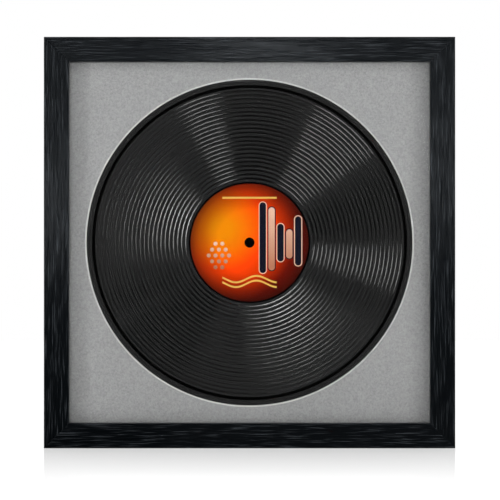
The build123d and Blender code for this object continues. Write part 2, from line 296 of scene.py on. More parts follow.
def lattice_noise(rng, x, y, x_step, y_step):
    """Noise from 0 to 1: random heights on a lattice, blended by a smooth step inside each cell."""
    x, y = x / x_step, y / y_step
    column, row = np.floor(x).astype(int), np.floor(y).astype(int)
    across, along = smooth_step(x - column, 0, 1), smooth_step(y - row, 0, 1)
    column, row = column - column.min(), row - row.min()
    heights = rng.random((column.max() + 2, row.max() + 2))
    near = heights[column, row] * (1 - along) + heights[column, row + 1] * along
    far = heights[column + 1, row] * (1 - along) + heights[column + 1, row + 1] * along
    return near * (1 - across) + far * across


def arc(centre, radius, start, end, steps):
    """Points on a circle from one angle to another, in degrees."""
    angle = np.radians(np.linspace(start, end, steps))
    return np.stack([centre[0] + radius * np.cos(angle), centre[1] + radius * np.sin(angle)], -1)


def rings(rows, angle):
    """Points of rings round Z, whose radii and heights may vary with the angle."""
    points = []
    for radius, height in rows:
        height = np.broadcast_to(height, angle.shape)
        points.append(np.stack([radius * np.cos(angle), radius * np.sin(angle), height], -1))
    return np.concatenate(points)


def revolved(section, segments):
    """A closed section of (radius, depth) points carried round the axis through the record's middle."""
    angle = np.linspace(0, 2 * pi, segments, endpoint=False)
    points = rings(section, pi / 2 - angle)[:, [0, 2, 1]]
    return points + (0.0, 0.0, CENTRE_Z), grid_faces(len(section), segments, True, True)


# Node trees


def fill(tree, sockets, values):
    """Sets or joins input sockets."""
    for key, value in values.items():
        if isinstance(value, bpy.types.NodeSocket):
            tree.links.new(value, sockets[key])
        else:
            sockets[key].default_value = value


def add_node(tree, kind, inputs=None, **settings):
    """Adds a node, fills its inputs, and gives its outputs."""
    node = tree.nodes.new(kind)
    for key, value in settings.items():
        setattr(node, key, value)
    fill(tree, node.inputs, inputs or {})
    return node.outputs


def put(tree, kind, inputs=None, output=0, **settings):
    """Adds a node, and gives one of its outputs."""
    return add_node(tree, kind, inputs, **settings)[output]


def vectors(tree, operation, *values, output=0):
    """A Vector Math node's output."""
    return put(tree, "ShaderNodeVectorMath", dict(enumerate(values)), output, operation=operation)


def axes(tree, place):
    """A vector's X, Y and Z."""
    return list(add_node(tree, "ShaderNodeSeparateXYZ", {0: place}))


def noise(tree, place, scale, detail, roughness=0.5):
    """The value of noise at a place."""
    inputs = {"Vector": place, "Scale": scale, "Detail": detail, "Roughness": roughness}
    return put(tree, "ShaderNodeTexNoise", inputs)


def maths(tree, operation, *values):
    """A Math node's output."""
    return put(tree, "ShaderNodeMath", dict(enumerate(values)), operation=operation)


def weighted(tree, share, first, second):
    """first times share plus second times the rest."""
    rest = maths(tree, "MULTIPLY", second, 1 - share)
    return maths(tree, "ADD", maths(tree, "MULTIPLY", first, share), rest)


def scaled(tree, value, low, high, new_low=0.0, new_high=1.0):
    """A value mapped from one range to another and held inside it."""
    inputs = {0: value, 1: low, 2: high, 3: new_low, 4: new_high}
    return put(tree, "ShaderNodeMapRange", inputs)


def blend(tree, share, first, second):
    """Two colours mixed by a share from 0 to 1."""
    inputs = {0: share, 6: first, 7: second}
    return put(tree, "ShaderNodeMix", inputs, output=2, data_type="RGBA")


def new_group(inputs, outputs):
    """Turns a function that fills a node group into one that places the group in a tree.

    The function takes the group's tree and inputs, and gives a value for each of its outputs.
    """

    def wrap(make):
        name = make.__name__

        def place(tree, **given):
            if name not in bpy.data.node_groups:
                group = bpy.data.node_groups.new(name, "ShaderNodeTree")
                for side, sockets in (("INPUT", inputs), ("OUTPUT", outputs)):
                    for label, kind in sockets.items():
                        group.interface.new_socket(label, in_out=side, socket_type=f"NodeSocket{kind}")
                results = make(group, group.nodes.new("NodeGroupInput").outputs)
                fill(group, group.nodes.new("NodeGroupOutput").inputs, results)
            return add_node(tree, "ShaderNodeGroup", given, node_tree=bpy.data.node_groups[name])

        return place

    return wrap


@new_group({"Vector": "Vector", "Stretch": "Vector"}, {"Streaks": "Float", "Height": "Float"})
def long_grain(tree, given):
    """Streaks drawn out along one direction, by noise on coordinates stretched across it."""
    place = vectors(tree, "MULTIPLY", given["Vector"], given["Stretch"])
    broad, fine = noise(tree, place, 1.0, 3.0), noise(tree, place, 3.1, 2.0)
    return {"Streaks": scaled(tree, broad, 0.56, 0.67), "Height": weighted(tree, 0.7, broad, fine)}


@new_group({"Vector": "Vector", "Scale": "Float"}, {"Shade": "Float", "Height": "Float"})
def fibre_speckle(tree, given):
    """Mottled fibres: two sizes of noise, as a shade from 0 to 1 and a height."""
    coarse = noise(tree, given["Vector"], given["Scale"], 4.0, 0.65)
    fine = noise(tree, given["Vector"], maths(tree, "MULTIPLY", given["Scale"], 4.0), 2.0)
    height = weighted(tree, 0.6, coarse, fine)
    return {"Shade": scaled(tree, height, 0.3, 0.7), "Height": height}


@new_group({"Vector": "Vector", "Scale": "Float"}, {"Smudge": "Float", "Height": "Float"})
def handling_marks(tree, given):
    """Marks of handling on metal: soft smudges and fine scratches."""
    smudge = noise(tree, given["Vector"], given["Scale"], 3.0)
    stretched = vectors(tree, "MULTIPLY", given["Vector"], (900.0, 6000.0, 7000.0))
    return {"Smudge": scaled(tree, smudge, 0.35, 0.65), "Height": noise(tree, stretched, 1.0, 2.0)}


def tint(colour, share):
    """A colour made darker or paler by a share, with full alpha."""
    return tuple(min(part * share, 1.0) for part in colour[:3]) + (1.0,)


def new_material(name, roughness=0.5, metallic=0.0, specular=0.5):
    """A material, its tree, its Principled shader's inputs and object coordinates."""
    material = bpy.data.materials.new(name)
    material.use_nodes = True
    tree = material.node_tree
    shader = tree.nodes["Principled BSDF"].inputs
    fill(tree, shader, {"Roughness": roughness, "Metallic": metallic, "Specular IOR Level": specular})
    return material, tree, shader, put(tree, "ShaderNodeTexCoord", output="Object")


def bump(tree, height, strength, distance):
    """The normal that a height gives."""
    return put(tree, "ShaderNodeBump", {"Height": height, "Strength": strength, "Distance": distance})


def wood_material(settings, name, stretch):
    """Black stained open-grain wood whose streaks run along the least stretched direction."""
    material, tree, shader, place = new_material(name, specular=0.14)
    grain = long_grain(tree, Vector=place, Stretch=stretch)
    colour = blend(tree, grain["Streaks"], settings.colour, settings.grain_colour)
    rough = scaled(tree, grain["Streaks"], 0.0, 1.0, settings.roughness, settings.roughness - 0.08)
    normal = bump(tree, grain["Height"], 0.35, 0.15 * MM)
    fill(tree, shader, {"Base Color": colour, "Roughness": rough, "Normal": normal})
    fill(tree, shader, {"Specular Tint": (0.88, 0.94, 1.0, 1.0)})
    return material


def paper_material(name, colour, scale, shade, roughness, depth=0.02 * MM, specular=0.3):
    """Paper or board whose colour varies with the fibres' shade."""
    material, tree, shader, place = new_material(name, roughness, specular=specular)
    fibre = fibre_speckle(tree, Vector=place, Scale=scale)
    colour = blend(tree, fibre["Shade"], tint(colour, 1 - shade), tint(colour, 1 + shade))
    fill(tree, shader, {"Base Color": colour, "Normal": bump(tree, fibre["Height"], 0.5, depth)})
    return material


def metal_material(name, colour, roughness):
    """Plated metal with smudges in its roughness and faint scratches."""
    if name in bpy.data.materials:
        return bpy.data.materials[name]
    material, tree, shader, place = new_material(name, roughness, metallic=1.0)
    marks = handling_marks(tree, Vector=place, Scale=300.0)
    colour = blend(tree, marks["Smudge"], tint(colour, 0.82), colour)
    rough = scaled(tree, marks["Smudge"], 0.0, 1.0, roughness + 0.12, roughness)
    normal = bump(tree, marks["Height"], 0.25, 0.02 * MM)
    fill(tree, shader, {"Base Color": colour, "Roughness": rough, "Normal": normal})
    return material


def vinyl_material(name, colour, roughness, specular):
    """Pressed vinyl with fine rings, by noise on the distance from the spindle hole."""
    material, tree, shader, place = new_material(name, roughness, specular=specular)
    apart = vectors(tree, "SUBTRACT", place, (0.0, RECORD_LOW.y, CENTRE_Z))
    radius = vectors(tree, "LENGTH", vectors(tree, "MULTIPLY", apart, (1.0, 0.0, 1.0)), output="Value")
    waves = {"W": radius, "Scale": 700.0, "Detail": 2.0}
    rings_seen = put(tree, "ShaderNodeTexNoise", waves, noise_dimensions="1D")
    colour = blend(tree, scaled(tree, rings_seen, 0.3, 0.7), tint(colour, 0.94), tint(colour, 1.06))
    rough = scaled(tree, rings_seen, 0.3, 0.7, roughness, roughness + 0.03)
    fill(tree, shader, {"Base Color": colour, "Roughness": rough})
    return material


def glazing_material():
    """A clear sheet: it lets light straight through, but for the little that its faces mirror."""
    material, tree, _, _ = new_material("glazing_clear")
    tree.nodes.remove(tree.nodes["Principled BSDF"])
    clear = put(tree, "ShaderNodeBsdfTransparent", {"Color": (0.992, 0.995, 0.993, 1.0)})
    gloss = put(tree, "ShaderNodeBsdfGlossy", {"Color": WHITE, "Roughness": 0.02})
    share = put(tree, "ShaderNodeFresnel", {"IOR": 1.10})
    mixed = put(tree, "ShaderNodeMixShader", {0: share, 1: clear, 2: gloss})
    tree.links.new(mixed, tree.nodes["Material Output"].inputs["Surface"])
    return material


def wear_finish(name, materials):
    """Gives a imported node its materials."""
    node = frame["nodes"][name]
    node.data.materials.clear()
    for material in materials:
        node.data.materials.append(material)


# Rails


def rail_section(settings):
    """The rail's section as (distance in from the outer edge, depth) and how far each point may sink.

    It runs up the outer side, round the front edge, across the face, down the lip and back along
    the rebate. Only the outer side, the front edge and the face sink.
    """
    edge, lip, ease, back = settings.edge_radius, 0.3 * MM, 0.4 * MM, BACK_Y
    outer = np.linspace((0.0, back - ease), (0.0, FRONT_Y + edge), 34, endpoint=False)
    corner = arc((edge, FRONT_Y + edge), edge, 180, 270, 6)
    face = np.linspace((edge, FRONT_Y), (FACE_WIDTH - lip, FRONT_Y), 68)[1:-1]
    inner = arc((FACE_WIDTH - lip, FRONT_Y + lip), lip, 270, 360, 4)
    hidden = [(FACE_WIDTH, GLAZING_Y - 2 * MM), (FACE_WIDTH, GLAZING_Y), (LAND_WIDTH, GLAZING_Y)]
    hidden += [(LAND_WIDTH, back), (LAND_WIDTH / 2, back), (ease, back)]
    section = np.concatenate([outer, corner, face, inner, hidden])
    sink = np.zeros(len(section))
    sink[1 : -len(hidden)] = 1.0
    sink[1 : len(outer) + len(corner)] = 0.4
    return section, sink


def rail_shell(settings, seed):
    """One rail lying along X below the frame's middle, as points and faces.

    A section point at distance u from the outer edge lies at x = s (H - u), where s runs from -1
    to 1 and H is half the outer length, so both ends lie on the mitres. It sinks against its
    normal by the depth of the pores there, which are noise drawn out along x.
    """
    section, sink = rail_section(settings)
    half = 1 - 0.35 * MM / HALF_OUTER
    station = np.concatenate([[-1.0], np.linspace(-half, half, 300), [1.0]])
    behind = np.roll(section, 1, 0)
    heading = np.roll(section, -1, 0) - behind
    heading /= np.linalg.norm(heading, axis=1)[:, None]
    normal = np.stack([heading[:, 1], -heading[:, 0]], -1)
    length = np.cumsum(np.linalg.norm(section - behind, axis=1))
    x = station[:, None] * (HALF_OUTER - section[:, 0])
    rng = np.random.default_rng(seed)
    drift = 1.6 * MM * lattice_noise(rng, x, np.zeros_like(x), 60 * MM, 1.0)
    across = np.broadcast_to(length, x.shape) + drift
    broad = lattice_noise(rng, x, across, settings.pore_length, settings.pore_width)
    fine = lattice_noise(rng, x, across, settings.pore_length * 0.45, settings.pore_width * 0.55)
    pores = smooth_step(0.6 * broad + 0.4 * fine, 0.46, 0.78)
    ends = 1 - smooth_step((1 - np.abs(station)) * HALF_OUTER, 0.0, 0.3 * MM)
    depth = sink * settings.pore_depth * np.maximum(pores, ends[:, None])
    inwards = np.clip(section[:, 0] - depth * normal[:, 0], 0, None)
    depths = section[:, 1] - depth * normal[:, 1]
    points = np.stack([x, depths, inwards - HALF_OUTER], -1).reshape(-1, 3)
    return points, capped_faces(*x.shape)


def turned(points, quarter_turns):
    """Points turned round the Y axis by quarter turns, then lifted to the frame's middle."""
    angle = quarter_turns * pi / 2
    x, z = points[:, 0], points[:, 2]
    about = np.stack([x * cos(angle) + z * sin(angle), points[:, 1], z * cos(angle) - x * sin(angle)], -1)
    return about + (0.0, 0.0, CENTRE_Z)


class RECORDFRAME_OT_rails(bpy.types.Operator):
    """Make the four mitred wood rails"""

    bl_idname = "record_frame.rails"
    bl_label = "Wood rails"

    def execute(self, context):
        settings = context.scene.record_frame_rails
        along, across = 40.0, 1250.0
        level = wood_material(settings, "black_wood_level", (along, across, across))
        upright = wood_material(settings, "black_wood_upright", (across, across, along))
        for turn, side in enumerate(("bottom", "left", "top", "right")):
            points, faces = rail_shell(settings, 40 + turn)
            points = turned(points, turn)
            rail = add_piece(f"wood_rail_{side}", points, faces, [upright if turn % 2 else level])
            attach(rail, "frame")
            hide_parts(f"rail_{side}")
        return {"FINISHED"}


# Mount board and glazing


def mount_shell():
    """The mount board as a grid round its window, and which faces show the core.

    At an angle a, a point at a share t between the window and the edge is the window's point
    times 1 - t plus the rectangle's point on the same ray times t. The rows run up the bevel,
    out over the face, down the edge and back in.
    """
    low, high = map(np.array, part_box("mount_board"))
    above, below = high[2] - CENTRE_Z, CENTRE_Z - low[2]
    corners = [np.arctan2(side * high[0], up) for side in (-1, 1) for up in (above, -below)]
    angle = np.sort(np.concatenate([np.linspace(-pi, pi, 336, endpoint=False), corners]))
    x, z = np.sin(angle), np.cos(angle)
    tiny = 1e-9
    to_side = high[0] / np.maximum(np.abs(x), tiny)
    to_end = np.where(z > 0, above, below) / np.maximum(np.abs(z), tiny)
    reach = np.minimum(to_side, to_end)
    ease = 0.06 * MM
    front, back = low[1], high[1]
    bevel = [
        (WINDOW_BACK_RADIUS, 0.0, back),
        (WINDOW_FRONT_RADIUS - ease, 0.0, front + ease),
        (WINDOW_FRONT_RADIUS + ease, 0.0, front),
    ]
    face = [(WINDOW_FRONT_RADIUS, share, front) for share in np.linspace(0.02, 1.0, 9)]
    rows = bevel + face + [(WINDOW_BACK_RADIUS, 1.0, back), (WINDOW_BACK_RADIUS, 0.5, back)]
    points = []
    for radius, share, depth in rows:
        ray = radius * (1 - share) + reach * share
        points.append(np.stack([ray * x, np.full_like(x, depth), CENTRE_Z + ray * z], -1))
    shows_core = np.zeros((len(rows), len(angle)), int)
    shows_core[0] = 1
    shows_core[len(bevel) + len(face) - 1 :] = 1
    return np.array(points), grid_faces(len(rows), len(angle), True, True), shows_core.ravel()


class RECORDFRAME_OT_mount(bpy.types.Operator):
    """Make the mount board with its bevelled window"""

    bl_idname = "record_frame.mount"
    bl_label = "Mount board"

    def execute(self, context):
        settings = context.scene.record_frame_mount
        paper = paper_material("mount_face_paper", settings.face_colour, 560.0, 0.28, 0.85)
        core = paper_material("mount_core", settings.core_colour, 900.0, 0.03, 0.8)
        points, faces, finish = mount_shell()
        mount = add_piece("grey_mount_board", points, faces, [paper, core], finish, crease=20.0)
        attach(mount, "frame")
        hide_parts("mount_board")
        return {"FINISHED"}


class RECORDFRAME_OT_glazing(bpy.types.Operator):
    """Finish the clear sheet"""

    bl_idname = "record_frame.glazing"
    bl_label = "Glazing"

    def execute(self, context):
        wear_finish("glazing_sheet", [glazing_material()])
        return {"FINISHED"}


# Record and labels

# A ridge's section on the front and on the back: millimetres from its middle, and its height.
RIDGE_SECTION = (
    (-0.90, 0.0),
    (-0.885, 0.030),
    (-0.635, 0.1235),
    (-0.385, 0.2120),
    (-0.135, 0.2957),
    (-0.03, 0.2957),
    (0.15, 0.2320),
    (0.33, 0.1647),
    (0.48, 0.1056),
    (0.63, 0.0435),
    (0.66, 0.0),
)
BACK_RIDGE_SECTION = ((0.69, 0.0), (0.05, 0.24), (-0.72, 0.0))

# GROOVE marks the faces that get near-black vinyl with no shine. This is painted shade in the groove ring and
# the ring round the label.
BASE, RIDGE, GROOVE = range(3)


def record_section():
    """The record's section as (radius, depth) points, and the finish of the face after each.

    A ridge's inner flank eases from 20.5 to 18.5 degrees as it rises, and its outer flank falls
    away from 19.5 to 22.5 degrees, so that the two flanks mirror lamps at different angles.
    Each ends at its foot in a low steep wall.
    """
    front, back = RECORD_LOW.y, RECORD_HIGH.y
    playing, back_playing = front + PLAYING_DROP, back - PLAYING_DROP
    middles = [FIRST_RIDGE_RADIUS + number * RIDGE_PITCH for number in range(RIDGE_COUNT)]
    chamfer, wall, ease = 0.05 * MM, 0.15 * MM, 0.45 * MM
    points, finish = [], []

    def go(kind, *places):
        points.extend(places)
        finish.extend([kind] * len(places))

    def ridge(middle, level, section, side):
        return [(middle + across * MM, level - side * height * MM) for across, height in section]

    go(BASE, (HOLE_RADIUS, front + LABEL_DROP))
    go(GROOVE, (LABEL_SEAT_RADIUS, front + LABEL_DROP), (LABEL_SEAT_RADIUS, front + chamfer))
    go(GROOVE, (LABEL_SEAT_RADIUS + chamfer, front), (LABEL_LAND_RADIUS - chamfer, front))
    go(BASE, (LABEL_LAND_RADIUS, playing))
    for middle in middles:
        *flats, foot = ridge(middle, playing, RIDGE_SECTION, 1)
        go(RIDGE, *flats)
        go(BASE, foot)
    go(GROOVE, (GROOVE_INNER_RADIUS, playing), (GROOVE_INNER_RADIUS + wall, front + GROOVE_DROP))
    go(GROOVE, (GROOVE_OUTER_RADIUS - wall, front + GROOVE_DROP), (GROOVE_OUTER_RADIUS, front + chamfer))
    go(BASE, (GROOVE_OUTER_RADIUS + 2 * chamfer, front), (GROOVE_OUTER_RADIUS + 4 * chamfer, front))
    go(BASE, (RECORD_RADIUS - ease - 2 * chamfer, front))
    for depth, start in ((front + ease, -90), (back - ease, 0)):
        go(BASE, *arc((RECORD_RADIUS - ease, depth), ease, start, start + 90, 11))
    go(GROOVE, (GROOVE_OUTER_RADIUS, back), (GROOVE_OUTER_RADIUS, back - GROOVE_DROP))
    go(GROOVE, (GROOVE_INNER_RADIUS, back - GROOVE_DROP))
    go(BASE, (GROOVE_INNER_RADIUS, back_playing))
    for middle in reversed(middles):
        go(BASE, *ridge(middle, back_playing, BACK_RIDGE_SECTION, -1))
    go(BASE, (LABEL_LAND_RADIUS, back_playing), (LABEL_LAND_RADIUS, back), (LABEL_SEAT_RADIUS, back))
    go(BASE, (LABEL_SEAT_RADIUS, back - LABEL_DROP), (HOLE_RADIUS, back - LABEL_DROP))
    return np.array(points), np.array(finish)


class RECORDFRAME_OT_record(bpy.types.Operator):
    """Make the ridged record"""

    bl_idname = "record_frame.record"
    bl_label = "Record"

    def execute(self, context):
        settings = context.scene.record_frame_record
        base = vinyl_material("vinyl_base", settings.base_colour, settings.roughness, 0.5)
        # The ridges' darker colour is partly the smooth vinyl's own blackness and partly painted shade for
        # dark lines along the ridges.
        ridge = vinyl_material("vinyl_ridge", settings.ridge_colour, settings.roughness, 1.0)
        # Near-black vinyl with no shine for the groove ring and the ring round the label: painted shade,
        # which makes these hollows read as shadowed.
        groove = vinyl_material("vinyl_groove", (0.0006, 0.0006, 0.0006), 0.9, 0.0)
        section, finish = record_section()
        segments = 272
        points, faces = revolved(section, segments)
        finishes = np.repeat(finish, segments)
        record = add_piece("pressed_record", points, faces, [base, ridge, groove], finishes, crease=10.0)
        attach(record, "frame")
        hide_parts("record_disc")
        return {"FINISHED"}


def label_section(low, high, side):
    """A label's closed section: flat from the hole to the edge, but for a pressed ring near the hole."""
    shown, hidden = (low, high) if side > 0 else (high, low)
    flat, pressed = shown, shown + 0.04 * MM * side
    front = [(HOLE_RADIUS, flat), (14 * MM, flat), (14.5 * MM, pressed), (16 * MM, pressed)]
    front += [(16.5 * MM, flat), (36 * MM, flat), (LABEL_RADIUS - 0.1 * MM, flat)]
    rest = [(LABEL_RADIUS, flat + 0.05 * MM * side), (LABEL_RADIUS, hidden), (HOLE_RADIUS, hidden)]
    return np.array(front + rest)


LABEL_INKS = ("Amber", "Ember", "Maroon", "Cream", "Navy", "Gold")

# The print's measures, as shares of the label's radius.
GLOW_X, GLOW_Z = -0.46, 0.24
BAR_PITCH, BAR_RADIUS, BAR_CORE_RADIUS = 0.15, 0.070, 0.054
BAR_START, BAR_END = 0.15, 0.90
LINE_HALF_LENGTH, LINE_HALF_WIDTH = 0.46, 0.016
DOT_RADIUS, DOT_STEP_X, DOT_STEP_Z = 0.034, 0.115, 0.10
DOTS_X, DOTS_Z = -0.52, -0.02
DOT_ROWS = (2, 3, 4, 3, 2)

# Height, swing, pace and start of the two waves and the straight line.
LINES = ((-0.62, 0.055, 9.0, 0.5), (-0.70, 0.055, 9.0, 0.5), (0.76, 0.0, 0.0, 0.0))


@new_group({"Vector": "Vector", **dict.fromkeys(LABEL_INKS, "Color")}, {"Color": "Color", "Ink": "Float"})
def label_print(tree, given):
    """The label's print, on coordinates that run from -1 to 1 over the label.

    A glow spreads from the upper left. Over it lie round-ended bars, pale and dark by turns, whose
    lengths follow a sine wave, a lozenge of dots, two fine waves below and a fine line above.
    """
    x, _, z = axes(tree, given["Vector"])
    do, ramp, mix = partial(maths, tree), partial(scaled, tree), partial(blend, tree)

    def length(across, up):
        """Length of a step across and up."""
        return do("SQRT", do("ADD", do("MULTIPLY", across, across), do("MULTIPLY", up, up)))

    def away(from_x, from_z):
        """Distance from a point of the label."""
        return length(do("SUBTRACT", x, from_x), do("SUBTRACT", z, from_z))

    def between(value, low, high):
        """1 where a value lies between two others."""
        return do("MULTIPLY", do("GREATER_THAN", value, low), do("LESS_THAN", value, high))

    glow = away(GLOW_X, GLOW_Z)
    colour = mix(ramp(glow, 0.15, 0.72), given["Amber"], given["Ember"])
    colour = mix(ramp(glow, 0.75, 1.30), colour, given["Maroon"])
    colour = mix(ramp(away(0.0, 0.0), 0.55, 1.05, 0.0, 0.93), colour, (0.018, 0.002, 0.0, 1.0))

    step = do("DIVIDE", x, BAR_PITCH)
    number = do("FLOOR", step)
    aside = do("MULTIPLY", do("SUBTRACT", do("FRACT", step), 0.5), BAR_PITCH)
    beat = do("SINE", do("MULTIPLY", number, 1.25))
    past_top = do("SUBTRACT", z, do("MULTIPLY_ADD", beat, 0.24, 0.40))
    past_foot = do("SUBTRACT", do("MULTIPLY_ADD", beat, -0.13, -0.34), z)
    reach = length(aside, do("MAXIMUM", do("MAXIMUM", past_top, past_foot), 0.0))
    span = between(x, BAR_START, BAR_END)
    edges = do("MULTIPLY", do("LESS_THAN", reach, BAR_RADIUS), span)
    cores = do("MULTIPLY", do("LESS_THAN", reach, BAR_CORE_RADIUS), span)
    odd = do("GREATER_THAN", do("MODULO", do("ADD", number, 0.5), 2.0), 1.0)
    lit = mix(ramp(z, -0.4, 0.5), (0.50, 0.20, 0.11, 1.0), given["Cream"])
    colour = mix(edges, colour, mix(odd, given["Navy"], given["Cream"]))
    colour = mix(cores, colour, mix(odd, lit, given["Navy"]))

    lines = 0.0
    for height, swing, pace, start in LINES:
        wave = do("MULTIPLY_ADD", do("SINE", do("MULTIPLY_ADD", x, pace, start)), swing, height)
        near = do("LESS_THAN", do("ABSOLUTE", do("SUBTRACT", z, wave)), LINE_HALF_WIDTH)
        line = do("MULTIPLY", near, between(x, -LINE_HALF_LENGTH, LINE_HALF_LENGTH))
        lines = do("MAXIMUM", lines, line)
        colour = mix(line, colour, given["Gold"])

    dots = 0.0
    for row, count in enumerate(DOT_ROWS):
        for place in range(count):
            dot_x = DOTS_X + DOT_STEP_X * (place - (count - 1) / 2)
            far = away(dot_x, DOTS_Z - DOT_STEP_Z * row)
            dots = do("MAXIMUM", dots, do("LESS_THAN", far, DOT_RADIUS))
    pale = mix(ramp(z, -0.45, 0.0), (0.42, 0.16, 0.08, 1.0), given["Cream"])
    ink = do("MAXIMUM", do("MAXIMUM", edges, dots), lines)
    return {"Color": mix(dots, colour, pale), "Ink": ink}


def label_material(settings, name, mirrored):
    """Printed label paper. The print is centred on the label, and its unit is the label's radius."""
    material, tree, shader, place = new_material(name, 0.6, specular=0.05)
    apart = vectors(tree, "SUBTRACT", place, (0.0, 0.0, CENTRE_Z))
    size = ((-1 if mirrored else 1) / LABEL_RADIUS, 1.0, 1 / LABEL_RADIUS)
    inks = {ink: getattr(settings, ink.lower()) for ink in LABEL_INKS}
    printed = label_print(tree, Vector=vectors(tree, "MULTIPLY", apart, size), **inks)
    fibre = fibre_speckle(tree, Vector=place, Scale=900.0)
    height = maths(tree, "ADD", fibre["Height"], maths(tree, "MULTIPLY", printed["Ink"], 0.4))
    fill(tree, shader, {"Base Color": printed["Color"], "Normal": bump(tree, height, 0.2, 0.01 * MM)})
    return material


class RECORDFRAME_OT_labels(bpy.types.Operator):
    """Make the printed labels on both sides of the record"""

    bl_idname = "record_frame.labels"
    bl_label = "Labels"

    def execute(self, context):
        settings = context.scene.record_frame_label
        for side, name in ((1, "front"), (-1, "back")):
            low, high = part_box(f"label_{name}")
            points, faces = revolved(label_section(low.y, high.y, side), 256)
            paper = label_material(settings, f"label_print_{name}", side < 0)
            label = add_piece(f"printed_label_{name}", points, faces, [paper])
            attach(label, "frame")
            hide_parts(f"label_{name}")
        return {"FINISHED"}


# Boards behind the record


def slab(box, ease, corner):
    """A board with eased edges: rounded rectangles stacked along a quarter, a flat and a quarter.

    The outline is the rectangle pulled in by the corner radius, pushed out along the corner
    angle, and the ring's inset follows ease times 1 - sin, its depth ease times 1 - cos.
    """
    low, high = map(np.array, box)
    angle = np.radians(np.arange(0, 360, 90)[:, None] + np.linspace(0, 90, 5)).ravel()
    signs = np.repeat([(1, 1), (-1, 1), (-1, -1), (1, -1)], 5, axis=0)
    middle, half = (low + high) / 2, (high - low) / 2 - corner
    turn = np.radians(np.linspace(0, 90, 6))
    insets, rises = ease * (1 - np.sin(turn)), ease * (1 - np.cos(turn))
    rows = []
    for inset, depth in [*zip(insets, low[1] + rises), *zip(insets[::-1], high[1] - rises[::-1])]:
        x = middle[0] + signs[:, 0] * half[0] + (corner - inset) * np.cos(angle)
        z = middle[2] + signs[:, 1] * half[2] + (corner - inset) * np.sin(angle)
        rows.append(np.stack([x, np.full_like(x, depth), z], -1))
    return np.concatenate(rows), capped_faces(len(rows), len(angle))


class RECORDFRAME_OT_boards(bpy.types.Operator):
    """Make the back panel and finish the boards in front of it"""

    bl_idname = "record_frame.boards"
    bl_label = "Boards"

    def execute(self, context):
        settings = context.scene.record_frame_boards
        fibreboard = paper_material("fibreboard", settings.fibreboard, 260.0, 0.24, 0.72, 0.05 * MM)
        filler = paper_material("filler_fibres", settings.fibreboard, 180.0, 0.3, 0.8)
        carrier = paper_material("carrier_board", settings.carrier, 500.0, 0.05, 0.8)
        card = paper_material("black_card", settings.card, 700.0, 0.3, 0.9, specular=0.0)
        points, faces = slab(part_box("back_panel"), 0.35 * MM, 1.2 * MM)
        panel = add_piece("fibreboard_back", points, faces, [fibreboard])
        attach(panel, "frame")
        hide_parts("back_panel")
        wear_finish("filler_board", [filler])
        wear_finish("record_carrier", [carrier])
        wear_finish("backing_card", [card])
        return {"FINISHED"}


# Hardware


def on_back(points, x, z, heading):
    """Points with X along a heading in the back's plane and Z out of it, placed on the rails' back."""
    placed = np.empty_like(points)
    placed[:, 0] = x + points[:, 0] * heading[0] - points[:, 1] * heading[1]
    placed[:, 1] = BACK_Y + points[:, 2]
    placed[:, 2] = z + points[:, 0] * heading[1] + points[:, 1] * heading[0]
    return placed


def button_outline(angle, heel, nose, reach):
    """Distance from the heel's middle to the edge: the hull of a heel circle and a nose circle."""
    normal = np.linspace(0, 2 * pi, 721)
    on_nose = reach * np.cos(normal) > heel - nose
    radius = np.where(on_nose, nose, heel)
    edge = np.stack([on_nose * reach + radius * np.cos(normal), radius * np.sin(normal)], -1)
    run = np.concatenate([[0], np.cumsum(np.linalg.norm(np.diff(edge, axis=0), axis=1))])
    fine = np.linspace(0, run[-1], 4001)
    x, y = np.interp(fine, run, edge[:, 0]), np.interp(fine, run, edge[:, 1])
    bearing = np.unwrap(np.arctan2(y, x))
    return np.interp(angle, bearing, np.hypot(x, y))


def button_shell():
    """A stamped turn button lying along X, its hole at the origin, with a rib along its nose.

    A point at angle a and share t lies at the hole's radius times 1 - t plus the outline's times
    t. The top rises over the rib by a smooth step of the distance to the rib's middle line.
    """
    heel, nose, reach = 5.0 * MM, 3.5 * MM, 13.0 * MM
    bore, low, top, ease, foot = 1.55 * MM, 0.1 * MM, 1.3 * MM, 0.3 * MM, 0.1 * MM
    rib_start, rib_end, rib_height = 5.3 * MM, 14.2 * MM, 0.6 * MM
    rib_flat, rib_foot = 0.25 * MM, 1.1 * MM
    spread = np.linspace(-1, 1, 121)[:-1]
    angle = np.sort(np.mod(pi * (0.45 * spread + 0.55 * spread**3), 2 * pi))
    outline = button_outline(angle, heel, nose, reach)
    rows = [(bore, low)]
    for share in np.linspace(0, 1, 34):
        radius = bore * (1 - share) + (outline - ease) * share
        x, y = radius * np.cos(angle), radius * np.sin(angle)
        apart = np.hypot(x - np.clip(x, rib_start, rib_end), y)
        rows.append((radius, top + rib_height * (1 - smooth_step(apart, rib_flat, rib_foot))))
    for step in np.radians(np.linspace(0, 90, 5))[1:]:
        rows.append((outline - ease * (1 - np.sin(step)), top - ease * (1 - np.cos(step))))
    rows += [(outline, low + foot), (outline - foot, low)]
    return rings(rows, angle), grid_faces(len(rows), len(angle), True, True)


